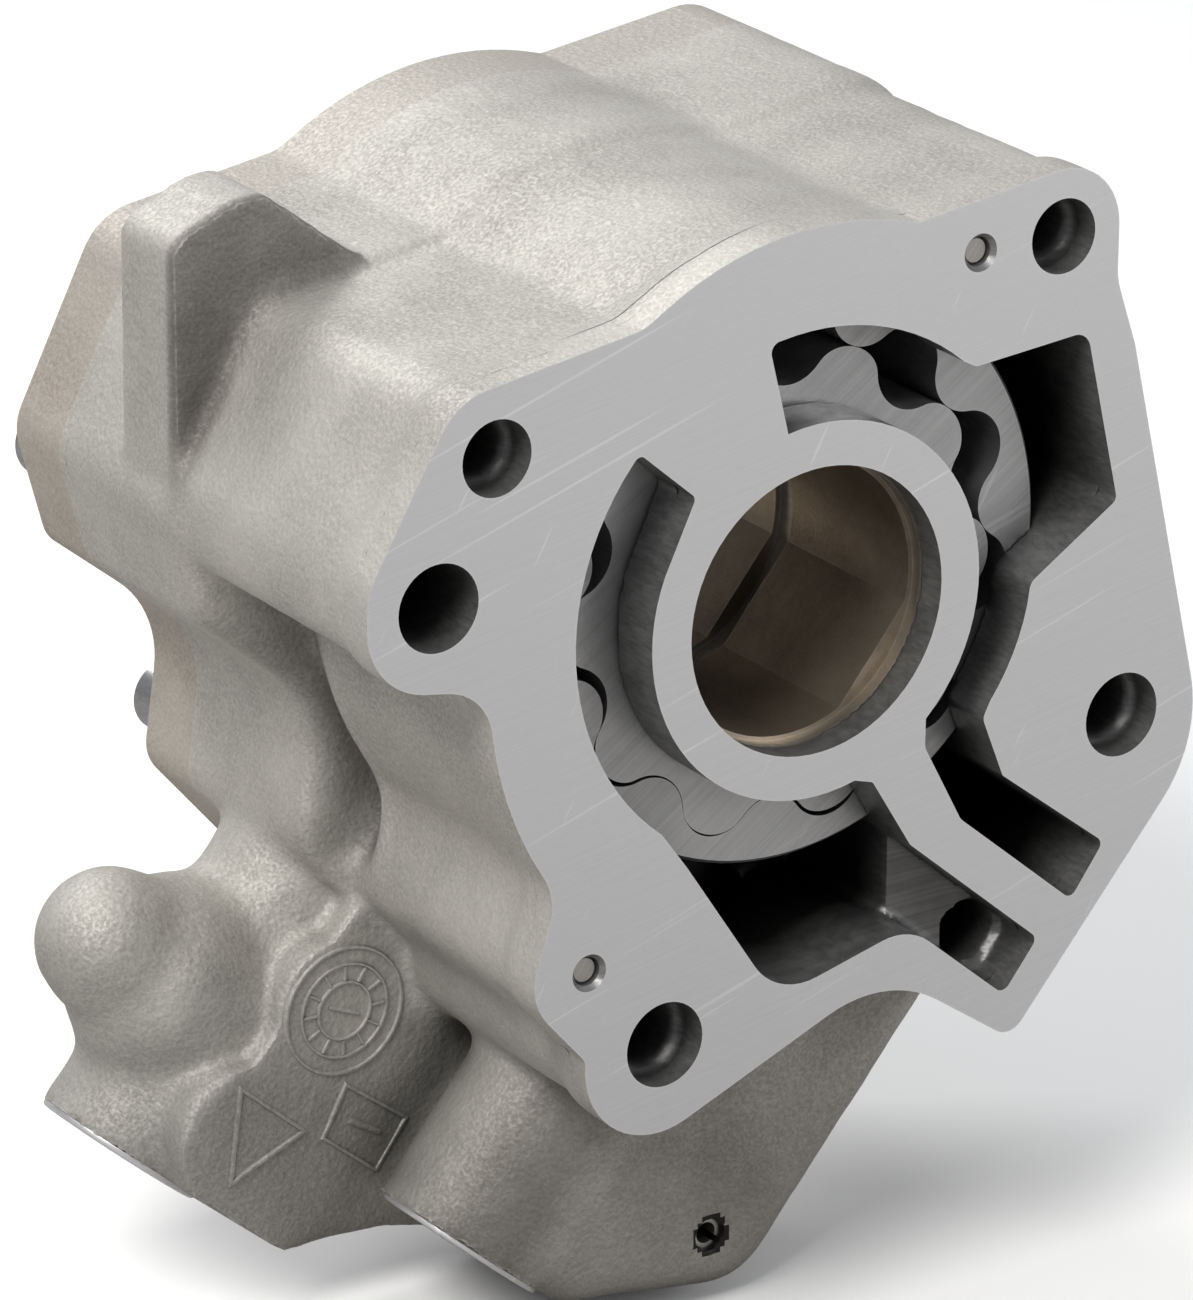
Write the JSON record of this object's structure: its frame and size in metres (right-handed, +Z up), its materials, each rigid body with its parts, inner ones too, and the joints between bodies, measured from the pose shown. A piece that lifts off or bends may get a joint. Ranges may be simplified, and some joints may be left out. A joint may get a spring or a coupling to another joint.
{
  "type": "engine oil pump",
  "caption": "Engine oil pump: cast light-alloy body with a ported face, gerotor sets on one drive bore, scavenge inlet arm, relief valve and rear cover.",
  "frame": {"origin": "centre of the drive bore's ring on the ported face", "axes": "-Y out of the ported face along the drive axis, +Z up as in the picture, +X to the right seen from the ported face"},
  "size_m": [0.1161, 0.0776, 0.1287],
  "materials": {
    "cast_alloy": "cast skin with machined faces",
    "cover_alloy": "cast skin, tan-brown",
    "rotor_steel": "ground sintered steel, oily",
    "plate_steel": "ground",
    "spring_steel": "drawn wire",
    "valve_steel": "ground",
    "plug_alloy": "turned",
    "pin_steel": "ground",
    "screw_steel": "plated",
    "seal_rubber": "matt black"
  },
  "bodies": {
    "housing": {"pump_body": "cast_alloy", "rear_cover": "cover_alloy", "cover_seal": "seal_rubber", "front_plate": "plate_steel", "middle_port_plate": "plate_steel", "rear_port_plate": "plate_steel", "wave_spring": "spring_steel", "relief_plug": "plug_alloy", "plug_seal": "seal_rubber", "relief_spring": "spring_steel", "relief_pin": "pin_steel", "face_dowels": "pin_steel", "ring_dowels": "pin_steel", "cover_screws": "screw_steel", "inlet_seals": "seal_rubber", "outlet_seal": "seal_rubber"},
    "feed_inner_rotor": {"feed_inner_rotor": "rotor_steel"},
    "middle_inner_rotor": {"middle_inner_rotor": "rotor_steel"},
    "rear_inner_rotor": {"rear_inner_rotor": "rotor_steel"},
    "feed_outer_rotor": {"feed_outer_rotor": "rotor_steel"},
    "middle_outer_rotor": {"middle_outer_rotor": "rotor_steel"},
    "rear_outer_rotor": {"rear_outer_rotor": "rotor_steel"},
    "relief_piston": {"relief_piston": "valve_steel"}
  },
  "joints": [
    {"name": "feed_inner_spin", "type": "hinge", "parent": "housing", "child": "feed_inner_rotor", "pos_m": [0, 0.0168, 0], "axis": [0, 1, 0], "continuous": true},
    {"name": "middle_inner_spin", "type": "hinge", "parent": "housing", "child": "middle_inner_rotor", "pos_m": [0, 0.0358, 0], "axis": [0, 1, 0], "continuous": true},
    {"name": "rear_inner_spin", "type": "hinge", "parent": "housing", "child": "rear_inner_rotor", "pos_m": [0, 0.0554, 0], "axis": [0, 1, 0], "continuous": true},
    {"name": "feed_outer_spin", "type": "hinge", "parent": "housing", "child": "feed_outer_rotor", "pos_m": [0.00072, 0.0168, 0.00197], "axis": [0, 1, 0], "continuous": true},
    {"name": "middle_outer_spin", "type": "hinge", "parent": "housing", "child": "middle_outer_rotor", "pos_m": [0.00072, 0.0358, 0.00197], "axis": [0, 1, 0], "continuous": true},
    {"name": "rear_outer_spin", "type": "hinge", "parent": "housing", "child": "rear_outer_rotor", "pos_m": [0.00072, 0.0554, 0.00197], "axis": [0, 1, 0], "continuous": true},
    {"name": "relief_slide", "type": "slide", "parent": "housing", "child": "relief_piston", "axis": [-0.6494, 0, -0.7604], "range_m": [0, 0.01], "stiffness_N_per_m": 3000, "springref_m": -0.012, "deforming": ["relief_spring"]}
  ],
  "couplings": [
    {"joint": "middle_inner_spin", "follows": "feed_inner_spin", "ratio": 1},
    {"joint": "rear_inner_spin", "follows": "feed_inner_spin", "ratio": 1},
    {"joint": "feed_outer_spin", "follows": "feed_inner_spin", "ratio": 0.90909},
    {"joint": "middle_outer_spin", "follows": "feed_inner_spin", "ratio": 0.90909},
    {"joint": "rear_outer_spin", "follows": "feed_inner_spin", "ratio": 0.90909}
  ]
}
